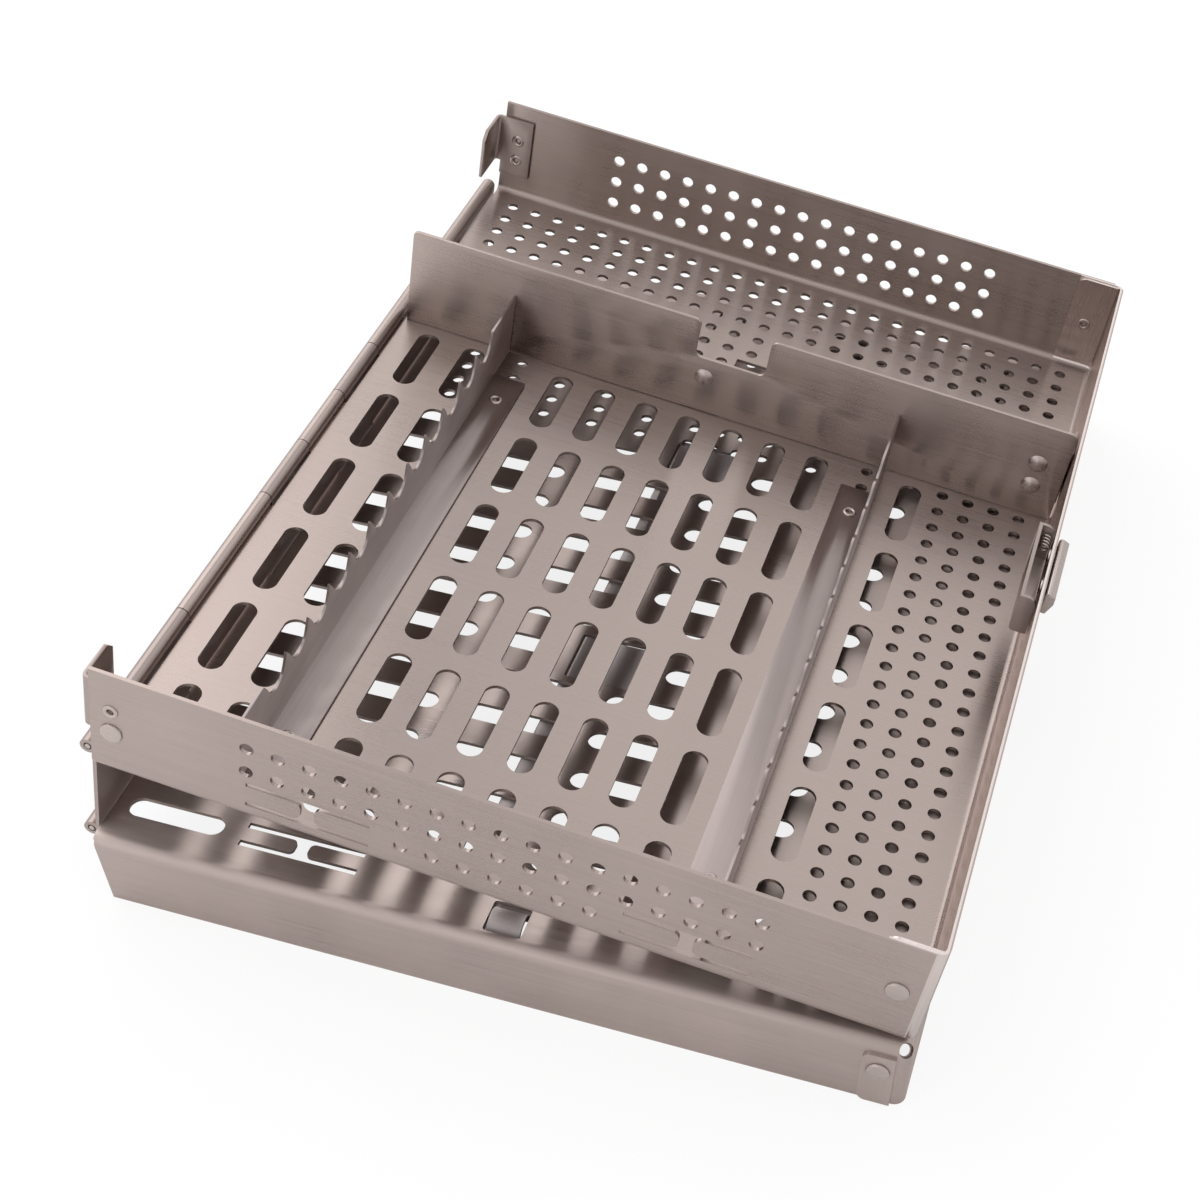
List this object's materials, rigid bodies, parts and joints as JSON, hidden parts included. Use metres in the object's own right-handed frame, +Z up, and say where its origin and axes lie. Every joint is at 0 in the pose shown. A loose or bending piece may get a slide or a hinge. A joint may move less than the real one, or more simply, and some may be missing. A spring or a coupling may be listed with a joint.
{
  "type": "instrument cassette",
  "caption": "Perforated steel instrument tray with a divider, scalloped racks and a slide latch, on a spine plate whose two hinges let the lid fold back beneath it.",
  "frame": {"origin": "middle of the footprint, on the surface that the lid's flanges stand on", "axes": "+X towards the latch wall, +Y towards the rear compartment along both hinges, +Z up"},
  "size_m": [0.218, 0.2886, 0.0784],
  "materials": {
    "sheet": "brushed",
    "fittings": "brushed",
    "pins": "bright drawn",
    "bar": "satin"
  },
  "bodies": {
    "tray": {"base_tray": "sheet", "divider": "fittings", "divider_angle": "fittings", "divider_foot": "fittings", "rack_left": "fittings", "rack_right": "fittings", "corner_bracket_front": "fittings", "corner_bracket_rear": "fittings", "latch_housing": "fittings", "latch_spring": "pins", "bracket_rivet_front_lower": "pins", "bracket_rivet_front_upper": "pins", "bracket_rivet_rear_lower": "pins", "bracket_rivet_rear_upper": "pins", "corner_rivet_front": "pins", "corner_rivet_rear": "pins", "rack_rivet_left_front": "pins", "rack_rivet_left_rear": "pins", "rack_rivet_right_front": "pins", "rack_rivet_right_rear": "pins", "divider_rivet_middle": "pins", "divider_rivet_lower": "pins", "divider_rivet_upper": "pins"},
    "spine": {"spine_plate": "sheet", "base_hinge_pin": "pins"},
    "lid": {"lid_tray": "sheet", "lid_hinge_pin": "pins", "hold_down_bar": "bar", "lid_rivet_front": "pins", "lid_rivet_rear": "pins", "bar_rivet_front": "pins", "bar_rivet_rear": "pins"},
    "slide": {"latch_slide": "fittings", "latch_stud_front": "pins", "latch_stud_rear": "pins"}
  },
  "joints": [
    {"name": "base_hinge", "type": "hinge", "parent": "tray", "child": "spine", "pos_m": [-0.10319, 0, 0.04837], "axis": [0, 1, 0], "range_deg": [0, 180]},
    {"name": "lid_hinge", "type": "hinge", "parent": "spine", "child": "lid", "pos_m": [-0.10688, 0, 0.0184], "axis": [0, 1, 0], "range_deg": [0, 187.03]},
    {"name": "latch", "type": "slide", "parent": "tray", "child": "slide", "axis": [0, 1, 0], "range_m": [0, 0.0035], "stiffness_N_per_m": 200, "deforming": ["latch_spring"]}
  ]
}
